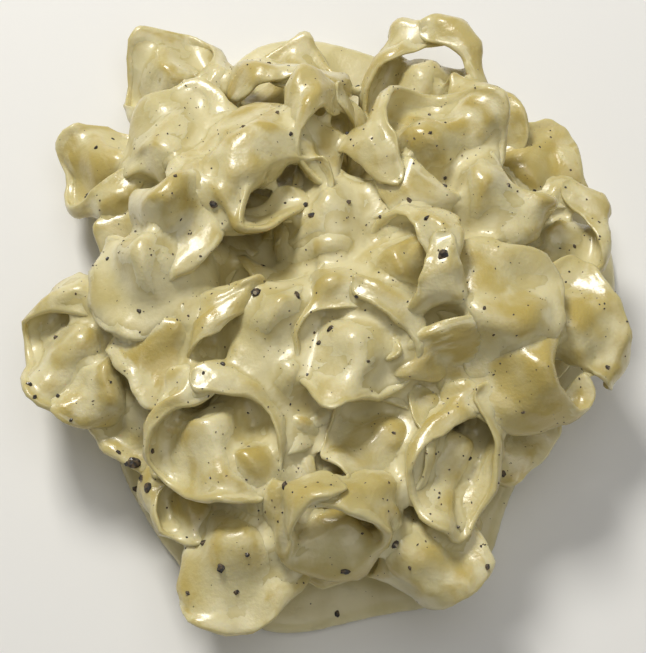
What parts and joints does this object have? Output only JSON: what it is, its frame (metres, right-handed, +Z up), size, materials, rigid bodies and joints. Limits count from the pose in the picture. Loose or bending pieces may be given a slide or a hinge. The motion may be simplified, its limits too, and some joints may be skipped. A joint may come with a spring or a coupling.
{
  "type": "tortellini in cream sauce",
  "caption": "Loose heap of folded, filled pasta rings in a thick pale cream sauce with cracked pepper, lying in its own low pool of sauce.",
  "frame": {"origin": "on the ground, under the middle of the heap's bounding box", "axes": "+Z up out of the heap, the shortest side; -Y is the side nearest the viewer, +X is to the viewer's right"},
  "size_m": [0.1724, 0.192, 0.0605],
  "materials": {
    "cream_sauce": null,
    "egg_pasta": null
  },
  "bodies": {
    "root": {"cream_sauce_pool": "cream_sauce", "tortellini_heap": "egg_pasta"}
  },
  "joints": []
}
